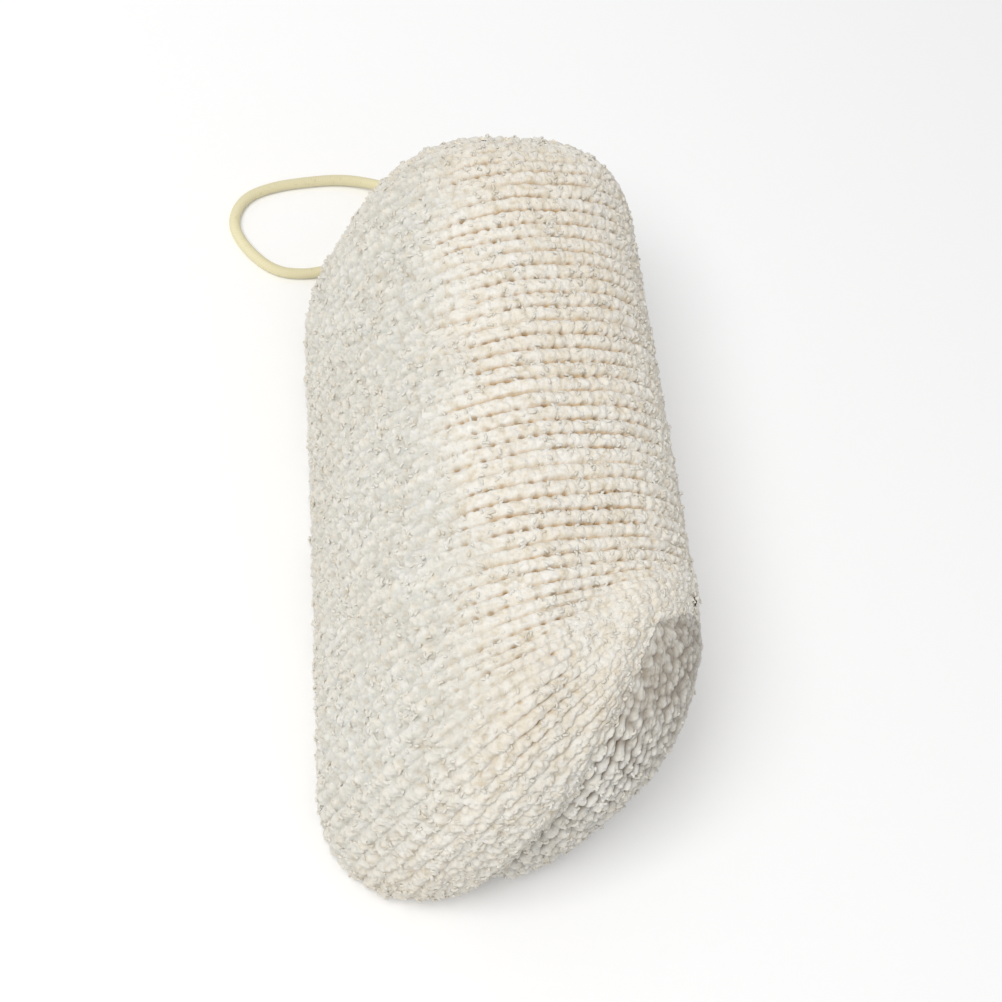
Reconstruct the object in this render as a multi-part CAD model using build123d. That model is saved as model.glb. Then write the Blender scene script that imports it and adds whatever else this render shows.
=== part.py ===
from build123d import *
from math import atan2, cos, degrees, radians, sin, tan
import os

# Loofah back scrubber: a length of loofah gourd in a knitted boucle cover, with a hanging loop.
# The pad lies along Y on its flat underside, near end towards -Y, loop at the far end. Millimetres.

# Plan of the pad: one corner each at far left, near left, near right and far right.
FAR_HALF_WIDTH = 27.0
NEAR_HALF_WIDTH = 32.0
FAR_LEFT_Y = 66.0
FAR_RIGHT_Y = 74.0
NEAR_LEFT_Y = -78.0
NEAR_RIGHT_Y = -60.0
FAR_LEFT_ROUND = 24.0
NEAR_LEFT_ROUND = 19.0
NEAR_RIGHT_ROUND = 28.0
FAR_RIGHT_ROUND = 21.0
TOP_SETBACK = 8.0            # how far the near right corner leans back between floor and top

# Side profile: the plan draws in towards the top and the bottom along a superellipse.
HEIGHT = 68.0
TOP_DRAW = 26.0
TOP_POWER = 2.2
BOTTOM_DRAW = 10.0
BOTTOM_POWER = 3.2
LEVELS = (-1.0, -0.96, -0.87, -0.7, -0.45, -0.15, 0.15, 0.4, 0.62, 0.78, 0.89, 0.955, 0.985)
SMALLEST_ROUND = 1.2

# Knitted cover
KNIT = 3.0
CORE_CLEARANCE = 0.4
PINCH = (11.7, -37.7)        # where the rows of the near end are gathered to a point
GUSSET_LEFT_ANGLE = -109.3   # plan direction of the gusset's two seams from the pinch
GUSSET_RIGHT_ANGLE = 20.0
FAR_PANEL_DEPTH = 9.0        # the far panel's seam lies this far in from the far face
BEYOND = 200.0               # comfortably larger than the pad

# Seam stitches
STITCH_RADIUS = 0.4
STITCH_LENGTH = 5.0
STITCH_PITCH = 6.0
SEAM_GAP_AT_PINCH = 7.0

# Loofah core
SEED_CHANNEL_RADIUS = 5.5
SEED_CHANNEL_CIRCLE = 14.0
SEED_CHANNELS = 3

# Hanging loop: both strands leave the far panel one above the other, on the swing axis.
CORD_RADIUS = 1.1
SWING_AXIS = (6.0, 71.7)
UPPER_STRAND_Z = 12.0
LOWER_STRAND_Z = 8.0
STRAND_HOLE_RADIUS = 1.25
STRAND_START = 1.4           # the fixed strands stop this far short of the swing axis
KNOT_RADIUS = 3.6
KNOT_DEPTH = 9.5             # from the swing axis to the knot's centre
KNOT_Z = 10.0
KNOT_POCKET = 0.7
CORD_TAIL = 6.0
LOOP_ROUTE = (
    (6.0, 71.7, 12.0),
    (4.6, 77.0, 11.0),
    (2.3, 82.0, 8.2),
    (-1.7, 86.3, 4.6),
    (-7.5, 89.0, 2.0),
    (-14.0, 89.2, 1.2),
    (-21.5, 87.2, 1.1),
    (-29.0, 84.6, 1.1),
    (-35.4, 80.6, 1.1),
    (-38.2, 74.0, 1.1),
    (-35.2, 68.2, 1.1),
    (-29.6, 64.0, 1.1),
    (-23.0, 64.3, 1.1),
    (-17.0, 66.4, 1.3),
    (-11.0, 69.1, 2.6),
    (-4.6, 71.7, 5.2),
    (1.0, 72.7, 7.2),
    (6.0, 71.7, 8.0),
)
BEND_SHARE = 0.45            # an arc takes this share of the shorter run beside it

# Tack stitches round the strands, in the thickness of the far panel
TACK_RADIUS = 0.4
TACK_LENGTH = 7.0
TACK_HEIGHTS = (5.6, 10.0, 14.4)
TACK_DEPTH = 3.0             # from the swing axis to the tacks


def plan_corners(rise, draw):
    """The four plan corners at a share of the height, drawn in by a distance."""
    setback = TOP_SETBACK * rise
    corners = [
        Vector(-FAR_HALF_WIDTH, FAR_LEFT_Y),
        Vector(-NEAR_HALF_WIDTH, NEAR_LEFT_Y),
        Vector(NEAR_HALF_WIDTH, NEAR_RIGHT_Y + setback),
        Vector(FAR_HALF_WIDTH, FAR_RIGHT_Y),
    ]
    sides = []
    for start, end in zip(corners, corners[1:] + corners[:1]):
        run = (end - start).normalized()
        sides.append((start + Vector(-run.Y, run.X) * draw, run))
    return [meet(sides[i - 1], sides[i]) for i in range(len(sides))]


def meet(first, second):
    """The point where two lines in plan cross."""
    (a, u), (b, v) = first, second
    along = ((b - a).X * v.Y - (b - a).Y * v.X) / (u.X * v.Y - u.Y * v.X)
    return a + u * along


def slice_of_pad(level, inset):
    """One horizontal slice: level runs from -1 at the bottom to 1 at the top."""
    half = HEIGHT / 2 - inset
    z = HEIGHT / 2 + half * level
    draw_max, power = (TOP_DRAW, TOP_POWER) if level > 0 else (BOTTOM_DRAW, BOTTOM_POWER)
    draw = draw_max * (1 - (1 - abs(level) ** power) ** (1 / power))
    rounds = (FAR_LEFT_ROUND, NEAR_LEFT_ROUND, NEAR_RIGHT_ROUND, FAR_RIGHT_ROUND)
    radii = [max(r - inset - draw, SMALLEST_ROUND) for r in rounds]
    corners = plan_corners(z / HEIGHT, inset + draw)
    outline = FilletPolyline([(c.X, c.Y, z) for c in corners], radius=radii, close=True)
    return make_face(outline)


def pad_solid(inset):
    """The pad's rounded block, drawn in all round by the inset."""
    return loft([slice_of_pad(level, inset) for level in LEVELS])


def far_direction():
    """Unit vector square to the far face, pointing out of the pad."""
    lean = atan2(FAR_RIGHT_Y - FAR_LEFT_Y, 2 * FAR_HALF_WIDTH)
    return Vector(-sin(lean), cos(lean), 0)


def far_seam_plane():
    """Plane of the far panel's seam, facing out of the far end."""
    middle = Vector(0, (FAR_LEFT_Y + FAR_RIGHT_Y) / 2, HEIGHT / 2)
    return Plane(middle - far_direction() * FAR_PANEL_DEPTH, z_dir=far_direction())


def beyond_far_seam():
    """Everything past the far panel's seam."""
    return extrude(far_seam_plane() * Rectangle(BEYOND, BEYOND), BEYOND)


def gusset_ray(angle):
    """Plan direction of one of the gusset's seams."""
    return Vector(cos(radians(angle)), sin(radians(angle)), 0)


def gusset_wedge():
    """The upright wedge that the gusset fills, with its edge under the pinch."""
    pinch = Vector(*PINCH, 0)
    left = pinch + gusset_ray(GUSSET_LEFT_ANGLE) * BEYOND
    right = pinch + gusset_ray(GUSSET_RIGHT_ANGLE) * BEYOND
    corner = Vector(BEYOND, -BEYOND, 0)
    outline = Polyline(pinch, left, corner, right, close=True)
    return extrude(Pos(0, 0, -1) * make_face(outline), HEIGHT + 2)


def stitches_along(middle, plane, keep):
    """Short bars square to a seam's plane, spaced along the middle of the knit."""
    cut = plane * Rectangle(BEYOND, BEYOND) & middle
    rim = cut.faces()[0].outer_wire()
    count = int(rim.length / STITCH_PITCH)
    bar = Cylinder(STITCH_RADIUS, STITCH_LENGTH)
    spots = [rim.position_at(i / count) for i in range(count)]
    return [Plane(spot, z_dir=plane.z_dir) * bar for spot in spots if keep(spot)]


def near_stitches(middle):
    """Stitches down both seams of the gusset, left clear of the pinch itself."""
    pinch = Vector(*PINCH, 0)
    bars = []
    for angle in (GUSSET_LEFT_ANGLE, GUSSET_RIGHT_ANGLE):
        ray = gusset_ray(angle)
        plane = Plane(Vector(*PINCH, HEIGHT / 2), z_dir=Vector(-ray.Y, ray.X, 0))
        bars += stitches_along(middle, plane, lambda p: (p - pinch).dot(ray) > SEAM_GAP_AT_PINCH)
    return bars


def far_stitches(middle):
    """Stitches all round the far panel's seam."""
    return stitches_along(middle, far_seam_plane(), lambda p: True)


def along_swing_axis(depth, z):
    """Point a given depth inside the far end from the swing axis."""
    return Vector(*SWING_AXIS, z) - far_direction() * depth


def straight_strand(radius, start, end, z):
    """A length of cord square to the far panel, between two depths from the swing axis."""
    base = Plane(along_swing_axis(end, z), z_dir=far_direction())
    return extrude(base * Circle(radius), end - start)


def knot_solid():
    """Both strands, knotted together, with two cut tails."""
    centre = along_swing_axis(KNOT_DEPTH, KNOT_Z)
    knot = Pos(centre) * Sphere(KNOT_RADIUS)
    for z in (UPPER_STRAND_Z, LOWER_STRAND_Z):
        knot += straight_strand(CORD_RADIUS, STRAND_START, KNOT_DEPTH, z)
        knot += straight_strand(CORD_RADIUS, KNOT_DEPTH, KNOT_DEPTH + CORD_TAIL, z)
    return knot


def strand_room():
    """The holes that both strands need through the far panel, and the knot's pocket."""
    room = Pos(along_swing_axis(KNOT_DEPTH, KNOT_Z)) * Sphere(KNOT_RADIUS + KNOT_POCKET)
    for z in (UPPER_STRAND_Z, LOWER_STRAND_Z):
        room += straight_strand(STRAND_HOLE_RADIUS, -1.0, KNOT_DEPTH + CORD_TAIL + 1.0, z)
    return room


def tack_bars():
    """Tack stitches above, between and below the two strands."""
    across = far_direction().cross(Vector(0, 0, 1))
    bar = Cylinder(TACK_RADIUS, TACK_LENGTH)
    return [Plane(along_swing_axis(TACK_DEPTH, z), z_dir=across) * bar for z in TACK_HEIGHTS]


def loofah_core():
    """A cut length of loofah gourd with its three seed channels."""
    core = pad_solid(KNIT + CORE_CLEARANCE)
    channel = Cylinder(SEED_CHANNEL_RADIUS, 2 * BEYOND)
    for i in range(SEED_CHANNELS):
        turn = radians(90 + i * 360 / SEED_CHANNELS)
        x = SEED_CHANNEL_CIRCLE * cos(turn)
        z = HEIGHT / 2 + SEED_CHANNEL_CIRCLE * sin(turn)
        core -= Pos(x, 0, z) * Rot(90, 0, 0) * channel
    return core - strand_room()


def bend_radii(route):
    """The largest arc that fits each corner of a route."""
    points = [Vector(*p) for p in route]
    radii = []
    for before, corner, after in zip(points, points[1:], points[2:]):
        arrive = corner - before
        leave = after - corner
        turn = radians(arrive.get_angle(leave))
        radii.append(BEND_SHARE * min(arrive.length, leave.length) / tan(turn / 2))
    return radii


def hanging_loop():
    """The free part of the cord, from one exit round to the other."""
    radii = bend_radii(LOOP_ROUTE)
    path = FilletPolyline(*LOOP_ROUTE, radius=radii)
    start = Plane(path @ 0, z_dir=path % 0)
    tube = sweep(start * Circle(CORD_RADIUS), path=path)
    print("bend radii", [round(r, 1) for r in radii])
    print("loop length", round(path.length, 1), "volume share",
          round(tube.volume / (path.length * Circle(CORD_RADIUS).area), 4))
    return tube


def build():
    """Every node's solids, by name."""
    outer = pad_solid(0)
    inner = pad_solid(KNIT)
    middle = pad_solid(KNIT / 2)
    shell = outer - inner
    wedge = gusset_wedge()
    far_end = beyond_far_seam()
    near_thread = near_stitches(middle)
    far_thread = far_stitches(middle)
    tacks = tack_bars()
    near_bars = Part() + near_thread
    far_bars = Part() + far_thread
    return {
        "cover_sleeve": shell - wedge - far_end - near_bars - far_bars,
        "near_gusset": (shell & wedge) - near_bars,
        "far_panel": (shell & far_end) - far_bars - strand_room() - (Part() + tacks),
        "near_seam_thread": Compound(children=[s.solid() for s in near_thread]),
        "far_seam_thread": Compound(children=[s.solid() for s in far_thread]),
        "loofah_core": loofah_core(),
        "hang_loop": hanging_loop(),
        "loop_knot": knot_solid(),
        "loop_tack_thread": Compound(children=[s.solid() for s in tacks]),
    }


os.makedirs("parts", exist_ok=True)
for node, shape in build().items():
    export_step(shape, f"parts/{node}.step")
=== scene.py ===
"""A loofah back scrubber: a length of loofah gourd in a knitted boucle cover, with a hanging loop.

The pad lies on its flat underside, its long side along Y and its near end towards -Y. Sizes are
in millimetres, in the frame's own axes, and every mesh is made in metres.
"""
import itertools
import logging
import math
from dataclasses import dataclass, field
from enum import Enum

import bpy
import numpy as np
from mathutils import Matrix, Vector, kdtree


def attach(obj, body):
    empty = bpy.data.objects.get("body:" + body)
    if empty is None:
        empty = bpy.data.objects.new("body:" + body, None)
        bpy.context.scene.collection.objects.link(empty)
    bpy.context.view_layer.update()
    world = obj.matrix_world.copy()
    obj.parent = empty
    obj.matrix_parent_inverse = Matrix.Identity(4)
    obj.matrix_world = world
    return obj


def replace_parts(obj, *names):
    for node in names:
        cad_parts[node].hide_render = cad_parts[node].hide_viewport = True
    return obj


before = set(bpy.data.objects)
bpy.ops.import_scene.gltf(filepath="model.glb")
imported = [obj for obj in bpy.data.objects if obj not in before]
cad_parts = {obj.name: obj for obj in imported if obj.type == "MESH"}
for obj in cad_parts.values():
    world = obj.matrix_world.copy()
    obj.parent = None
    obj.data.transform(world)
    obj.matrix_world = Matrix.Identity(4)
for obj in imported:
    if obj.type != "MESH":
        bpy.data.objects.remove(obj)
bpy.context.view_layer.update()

log = logging.getLogger("back_scrubber")

METRES = 0.001  # metres in a millimetre
WHITE = (1.0, 1.0, 1.0)
UP = np.array([0.0, 0.0, 1.0])
QUICK_DETAIL, FULL_DETAIL = 5, 12  # points per stitch, each way
Grid = np.ndarray


class Body(Enum):
    """The two moving bodies of the frame."""

    PAD = "pad"
    LOOP = "loop"


class Slot(Enum):
    """The material slots of the record."""

    KNIT = "boucle_knit"
    THREAD = "sewing_thread"
    FIBRE = "loofah_fibre"
    CORD = "loop_cord"


# --- Finishes ---


class NodeSheet:
    """A new material with helpers that add and join its shader nodes."""

    def __init__(self, name: str) -> None:
        """Start a material with a shader and an output node.

        Args:
            name: The material's name.
        """
        self.material = bpy.data.materials.new(name)
        self.material.use_nodes = True
        self.tree = self.material.node_tree
        self.tree.nodes.clear()
        self.shader = self.add("BsdfPrincipled")
        self.feed(self.add("OutputMaterial").inputs["Surface"], self.shader.outputs["BSDF"])

    def add(self, kind: str, **settings: object) -> bpy.types.Node:
        """Add a node and set its properties.

        Args:
            kind: The node's type, without the ShaderNode prefix.
            settings: Properties of the node by name.

        Returns:
            The new node.
        """
        node = self.tree.nodes.new("ShaderNode" + kind)
        for key, value in settings.items():
            setattr(node, key, value)
        return node

    def feed(self, target: bpy.types.NodeSocket, value: object) -> None:
        """Set or link an input socket.

        Args:
            target: The input.
            value: A socket to link, a number, or a colour of three numbers.
        """
        if isinstance(value, bpy.types.NodeSocket):
            self.tree.links.new(value, target)
        else:
            target.default_value = (*value, 1.0) if isinstance(value, tuple) else value

    def noise(self, scale: float, detail: float, roughness: float = 0.5) -> bpy.types.NodeSocket:
        """Add a noise over the object's own coordinates.

        Args:
            scale: Cycles per metre.
            detail: Number of finer octaves.
            roughness: Strength of the finer octaves.

        Returns:
            The noise's value socket, from 0 to 1.
        """
        noise = self.add("TexNoise")
        self.feed(noise.inputs["Vector"], self.add("TexCoord").outputs["Object"])
        for key, value in (("Scale", scale), ("Detail", detail), ("Roughness", roughness)):
            self.feed(noise.inputs[key], value)
        return noise.outputs["Fac"]

    def ramp(self, factor: bpy.types.NodeSocket, *stops: tuple) -> bpy.types.NodeSocket:
        """Add a colour ramp.

        Args:
            factor: The socket that drives it.
            stops: Pairs of a place from 0 to 1 and a colour of three numbers.

        Returns:
            The ramp's colour socket.
        """
        ramp = self.add("ValToRGB")
        for point, (place, colour) in zip(ramp.color_ramp.elements, stops):
            point.position, point.color = place, (*colour, 1.0)
        for place, colour in stops[2:]:
            ramp.color_ramp.elements.new(place).color = (*colour, 1.0)
        self.feed(ramp.inputs["Fac"], factor)
        return ramp.outputs["Color"]

    def mix(self, factor: object, first: object, second: object, how: str = "MIX") -> bpy.types.NodeSocket:
        """Mix two colours.

        Args:
            factor: A socket or a number from 0 to 1.
            first: A socket or a colour of three numbers.
            second: A socket or a colour of three numbers.
            how: The node's blend type.

        Returns:
            The mixed colour's socket.
        """
        node = self.add("Mix", data_type="RGBA", blend_type=how)
        for number, value in ((0, factor), (6, first), (7, second)):
            self.feed(node.inputs[number], value)
        return node.outputs[2]

    def surface(self, colour: object, settings: dict) -> None:
        """Give the shader its colour and its other values.

        Args:
            colour: A socket or a colour of three numbers.
            settings: Values by the name of the shader's socket.
        """
        for key, value in {"Base Color": colour, **settings}.items():
            self.feed(self.shader.inputs[key], value)

    def bump(self, height: bpy.types.NodeSocket, strength: float, depth: float) -> None:
        """Drive the shader's normal with a bump.

        Args:
            height: The height's socket.
            strength: Share of the bump that shows.
            depth: Metres that the height stands for.
        """
        node = self.add("Bump")
        for key, value in (("Strength", strength), ("Distance", depth), ("Height", height)):
            self.feed(node.inputs[key], value)
        self.feed(self.shader.inputs["Normal"], node.outputs["Normal"])


class Finish:
    """What the finishes share: each paints the node sheet of a new material."""

    def make(self, name: str) -> bpy.types.Material:
        """Make a material with this finish.

        Args:
            name: The material's name.

        Returns:
            The material.
        """
        sheet = NodeSheet(name)
        self.paint(sheet)
        return sheet.material

    def paint(self, sheet: NodeSheet) -> None:
        """Lay out the finish's nodes on a sheet.

        Args:
            sheet: The material's nodes.
        """
        raise NotImplementedError


@dataclass(frozen=True)
class BoucleFinish(Finish):
    """Unbleached boucle cotton, tan in its open stitches. It reads the mesh's "bare_and_painted_shade"
    value, which mixes in the core colour in open stitches and as painted shade in low places, and its
    "painted_shade" value, which mixes in a painted shade grey.
    """

    cream: tuple = (0.81, 0.762, 0.668)
    white: tuple = (0.855, 0.83, 0.775)
    straw: tuple = (0.70, 0.62, 0.485)
    # painted shade: the grey that shaded places are mixed towards
    shade_grey: tuple = (0.515, 0.53, 0.495)
    # the loofah core's colour, seen in open stitches and also mixed in as painted shade in low places
    core: tuple = (0.50, 0.31, 0.11)
    handled: tuple = (0.94, 0.90, 0.84)
    handled_share: float = 0.6
    shade_grey_share: float = 0.55
    mottle_scale: float = 520.0
    drift_scale: float = 34.0
    fibre_scale: float = 2000.0
    fibre_depth: float = 0.0003

    def paint(self, sheet: NodeSheet) -> None:
        """Lay out the yarn's mottle, its handled patches, the painted shade grey of its shaded places and
        its open stitches.

        Args:
            sheet: The material's nodes.
        """
        mottle = sheet.noise(self.mottle_scale, 3.0, 0.6)
        yarn = sheet.ramp(mottle, (0.28, self.straw), (0.43, self.cream), (0.62, self.white))
        patches = sheet.ramp(sheet.noise(self.drift_scale, 2.0), (0.35, self.handled), (0.65, WHITE))
        warm = sheet.mix(self.handled_share, yarn, patches, "MULTIPLY")
        # painted shade: the yarn is greyed where the mesh's painted shade value is high
        pale = sheet.mix(self.shade_grey_share, warm, self.shade_grey)
        wool = sheet.mix(sheet.add("Attribute", attribute_name="painted_shade").outputs["Fac"], warm, pale)
        # core colour in open stitches, and painted shade in low places, by the bare_and_painted_shade value
        colour = sheet.mix(sheet.add("Attribute", attribute_name="bare_and_painted_shade").outputs["Fac"], wool, self.core)
        soft = {"Roughness": 0.95, "Specular IOR Level": 0.15, "Sheen Weight": 0.25, "Sheen Roughness": 0.6}
        sheet.surface(colour, soft)
        sheet.bump(sheet.noise(self.fibre_scale, 4.0, 0.7), 0.9, self.fibre_depth)


@dataclass(frozen=True)
class ThreadFinish(Finish):
    """Cream sewing thread with a fine twist."""

    light: tuple = (0.80, 0.74, 0.62)
    dark: tuple = (0.60, 0.53, 0.40)
    twist_scale: float = 1500.0

    def paint(self, sheet: NodeSheet) -> None:
        """Lay out the twist.

        Args:
            sheet: The material's nodes.
        """
        twist = sheet.noise(self.twist_scale, 3.0, 0.6)
        colour = sheet.ramp(twist, (0.35, self.dark), (0.6, self.light))
        sheet.surface(colour, {"Roughness": 0.85, "Sheen Weight": 0.2})
        sheet.bump(twist, 0.5, 0.0001)


@dataclass(frozen=True)
class FibreFinish(Finish):
    """Dry loofah gourd: a tan net of coarse fibres, with painted shade in the gaps between them."""

    pale: tuple = (0.58, 0.42, 0.24)
    # painted shade in the gaps between the fibres
    dark: tuple = (0.26, 0.15, 0.07)
    weathered: tuple = (0.82, 0.80, 0.76)
    net_scale: float = 300.0
    tint_scale: float = 90.0

    def paint(self, sheet: NodeSheet) -> None:
        """Lay out the net of fibres with painted shade in its gaps, and its uneven tint.

        Args:
            sheet: The material's nodes.
        """
        net = sheet.add("TexVoronoi", feature="DISTANCE_TO_EDGE")
        sheet.feed(net.inputs["Scale"], self.net_scale)
        sheet.feed(net.inputs["Vector"], sheet.add("TexCoord").outputs["Object"])
        # painted shade: darker away from the fibres' edges
        colour = sheet.ramp(net.outputs["Distance"], (0.05, self.pale), (0.35, self.dark))
        tint = sheet.ramp(sheet.noise(self.tint_scale, 3.0), (0.3, self.weathered), (0.7, WHITE))
        sheet.surface(sheet.mix(1.0, colour, tint, "MULTIPLY"), {"Roughness": 0.9})
        sheet.bump(net.outputs["Distance"], 0.9, 0.0008)


@dataclass(frozen=True)
class CordFinish(Finish):
    """Pale olive-yellow cotton cord with a soft ply. It reads the mesh's "groove" value to paint shade into
    the ply's grooves.
    """

    light: tuple = (0.76, 0.70, 0.46)
    dark: tuple = (0.60, 0.52, 0.28)
    fleck_scale: float = 900.0
    groove_shade_share: float = 0.35

    def paint(self, sheet: NodeSheet) -> None:
        """Lay out the yarn's flecks and painted shade in the grooves of the ply.

        Args:
            sheet: The material's nodes.
        """
        fleck = sheet.noise(self.fleck_scale, 4.0, 0.65)
        yarn = sheet.ramp(fleck, (0.22, self.dark), (0.42, self.light))
        # painted shade: the ply's grooves are mixed towards the dark colour
        shade = sheet.add("Math", operation="MULTIPLY")
        sheet.feed(shade.inputs[0], sheet.add("Attribute", attribute_name="groove").outputs["Fac"])
        sheet.feed(shade.inputs[1], self.groove_shade_share)
        sheet.surface(sheet.mix(shade.outputs[0], yarn, self.dark), {"Roughness": 0.8, "Sheen Weight": 0.2})
        sheet.bump(fleck, 0.6, 0.00012)


@dataclass(frozen=True)
class PaperFinish(Finish):
    """Plain near-white backdrop paper."""

    shade: tuple = (0.97, 0.97, 0.97)

    def paint(self, sheet: NodeSheet) -> None:
        """Set one flat colour."""
        sheet.surface(self.shade, {"Roughness": 0.9, "Specular IOR Level": 0.0})


# --- Shared mesh work ---


def smooth_step(low: float, high: float, value: Grid) -> Grid:
    """Ease from 0 at low to 1 at high.

    Args:
        low: Where the ease starts.
        high: Where it ends.
        value: The values to ease.

    Returns:
        The eased values.
    """
    share = np.clip((value - low) / (high - low), 0.0, 1.0)
    return share * share * (3.0 - 2.0 * share)


def bell(away: Grid, width: float) -> Grid:
    """A smooth hump: 1 in the middle, and about a third at the width."""
    return np.exp(-((away / width) ** 2))


def at_least(least: float, share: Grid) -> Grid:
    """Shares from 0 to 1, made to run from a least value to 1."""
    return least + (1.0 - least) * share


def unit(vectors: Grid) -> Grid:
    """Vectors made one long, along their last axis."""
    return vectors / (np.linalg.norm(vectors, axis=-1, keepdims=True) + 1e-9)


def run_length(line: Grid) -> Grid:
    """Distance along a line of points, from its start to each of them."""
    return np.concatenate(([0.0], np.cumsum(np.linalg.norm(np.diff(line, axis=0), axis=1))))


def along_line(line: Grid, reached: Grid, place: Grid) -> Grid:
    """Points at given distances along a line.

    Args:
        line: The line's points, shape (n, 3).
        reached: Distance along the line to each of them.
        place: The distances wanted.

    Returns:
        The points.
    """
    return np.stack([np.interp(place, reached, line[:, axis]) for axis in range(3)], axis=1)


def curls(points: Grid, size: float, seed: int, cells: int = 48) -> Grid:
    """Round swellings scattered through space, as the loops of a boucle yarn.

    Args:
        points: Places, in millimetres, shape (n, 3).
        size: Mean distance between the swellings.
        seed: Seed of their places.
        cells: Cells after which the places repeat.

    Returns:
        Height at each place as a share of the size.
    """
    least_reach, more_reach = 0.5, 0.35
    table = np.random.default_rng(seed).random((cells, cells, cells, 4), dtype=np.float32)
    scaled = (points / size).astype(np.float32)
    cell = np.floor(scaled).astype(np.int32)
    local = scaled - cell
    best = np.zeros(len(points), np.float32)
    for step in itertools.product((-1, 0, 1), repeat=3):
        index = (cell + np.array(step, np.int32)) % cells
        spot = table[index[:, 0], index[:, 1], index[:, 2]]
        away = spot[:, :3] + np.array(step, np.float32) - local
        reach = least_reach + more_reach * spot[:, 3]
        best = np.maximum(best, reach * reach - (away * away).sum(1))
    return np.sqrt(best)


def drift(points: Grid, size: float, seed: int, cells: int = 32) -> Grid:
    """Smooth unevenness through space.

    Args:
        points: Places, in millimetres, shape (n, 3).
        size: Mean distance between highs and lows.
        seed: Seed of the unevenness.
        cells: Cells after which it repeats.

    Returns:
        Values from -1 to 1.
    """
    table = np.random.default_rng(seed).uniform(-1.0, 1.0, (cells, cells, cells))
    scaled = points / size
    cell = np.floor(scaled).astype(int)
    local = smooth_step(0.0, 1.0, scaled - cell)
    total = np.zeros(len(points))
    for step in itertools.product((0, 1), repeat=3):
        index = (cell + np.array(step)) % cells
        share = np.prod(np.where(np.array(step) == 1, local, 1.0 - local), axis=1)
        total += share * table[index[:, 0], index[:, 1], index[:, 2]]
    return total


def quads_of(ids: Grid) -> Grid:
    """The quads of a grid of vertex numbers.

    Args:
        ids: Vertex numbers, shape (rows, columns).

    Returns:
        Quads, shape (n, 4).
    """
    corners = (ids[:-1, :-1], ids[:-1, 1:], ids[1:, 1:], ids[1:, :-1])
    return np.stack(corners, axis=-1).reshape(-1, 4)


def build_mesh(name: str, points: Grid, quads: Grid, values: dict | None = None) -> bpy.types.Object:
    """Make a smooth-shaded mesh object from points in millimetres.

    Args:
        name: The piece's name.
        points: Vertices, shape (n, 3).
        quads: Quads of vertex numbers, shape (m, 4).
        values: Numbers to keep at each vertex, by attribute name.

    Returns:
        The new object, linked to the scene.
    """
    mesh = bpy.data.meshes.new(name)
    mesh.vertices.add(len(points))
    mesh.vertices.foreach_set("co", (points * METRES).astype(np.float32).ravel())
    mesh.loops.add(4 * len(quads))
    mesh.loops.foreach_set("vertex_index", quads.astype(np.int32).ravel())
    mesh.polygons.add(len(quads))
    mesh.polygons.foreach_set("loop_start", np.arange(0, 4 * len(quads), 4, dtype=np.int32))
    mesh.update(calc_edges=True)
    mesh.polygons.foreach_set("use_smooth", np.ones(len(quads), bool))
    for key, numbers in (values or {}).items():
        layer = mesh.attributes.new(key, "FLOAT", "POINT")
        layer.data.foreach_set("value", numbers.astype(np.float32).ravel())
    mesh.validate()
    piece = bpy.data.objects.new(name, mesh)
    bpy.context.scene.collection.objects.link(piece)
    return piece


def tubes(paths: Grid, radii: Grid, sides: int) -> tuple[Grid, Grid]:
    """Round tubes with closed ends along several paths of the same number of points.

    Args:
        paths: Points, shape (tubes, points, 3).
        radii: Radius at each point, shape (tubes, points).
        sides: Sides of each tube.

    Returns:
        The vertices and the quads.
    """
    straight, upright = 1e-6, 0.8
    run = unit(np.gradient(paths, axis=1))
    chord = paths[:, -1] - paths[:, 0]
    turn = np.cross(run[:, len(paths[0]) // 2], chord)
    spare = np.where(np.abs(run[:, 0, 2:3]) < upright, [[0.0, 0.0, 1.0]], [[1.0, 0.0, 0.0]])
    turn = np.where(np.linalg.norm(turn, axis=1, keepdims=True) > straight, turn, spare)
    first = unit(np.cross(run, turn[:, None, :]))
    second = np.cross(run, first)
    angle = np.linspace(0.0, 2.0 * np.pi, sides, endpoint=False)
    ring = (
        first[:, :, None, :] * np.cos(angle)[None, None, :, None]
        + second[:, :, None, :] * np.sin(angle)[None, None, :, None]
    )
    points = paths[:, :, None, :] + ring * radii[:, :, None, None]
    count, length = paths.shape[:2]
    ids = np.arange(count * length * sides).reshape(count, length, sides)
    after = np.roll(ids, -1, axis=2)
    quads = np.stack((ids[:, :-1], after[:, :-1], after[:, 1:], ids[:, 1:]), axis=-1)
    return points.reshape(-1, 3), quads.reshape(-1, 4)


# --- The pad's shape ---


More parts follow.
